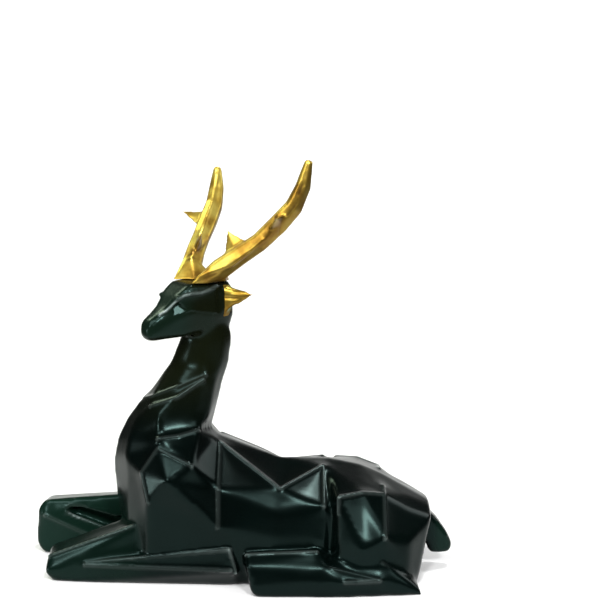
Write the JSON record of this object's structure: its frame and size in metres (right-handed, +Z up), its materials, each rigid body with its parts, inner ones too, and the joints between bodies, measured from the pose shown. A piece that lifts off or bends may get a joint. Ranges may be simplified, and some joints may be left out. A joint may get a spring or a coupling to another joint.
{
  "type": "resin deer figurine",
  "caption": "Reclining stag figurine cast in resin in broad flat planes, with a turned head, folded legs and separately cast antlers.",
  "frame": {"origin": "middle of the whole figure's box, on the surface that it lies on", "axes": "+Z up, +X from the breast to the tail, +Y from the near flank, towards which the head is turned, to the far one"},
  "size_m": [0.2174, 0.1034, 0.2096],
  "materials": {
    "lacquer": "dark bottle-green gloss lacquer on cast resin, with gilded ears",
    "gilding": "metallic gold paint on cast resin"
  },
  "bodies": {
    "root": {"deer": "lacquer", "antler_near": "gilding", "antler_far": "gilding"}
  },
  "joints": []
}
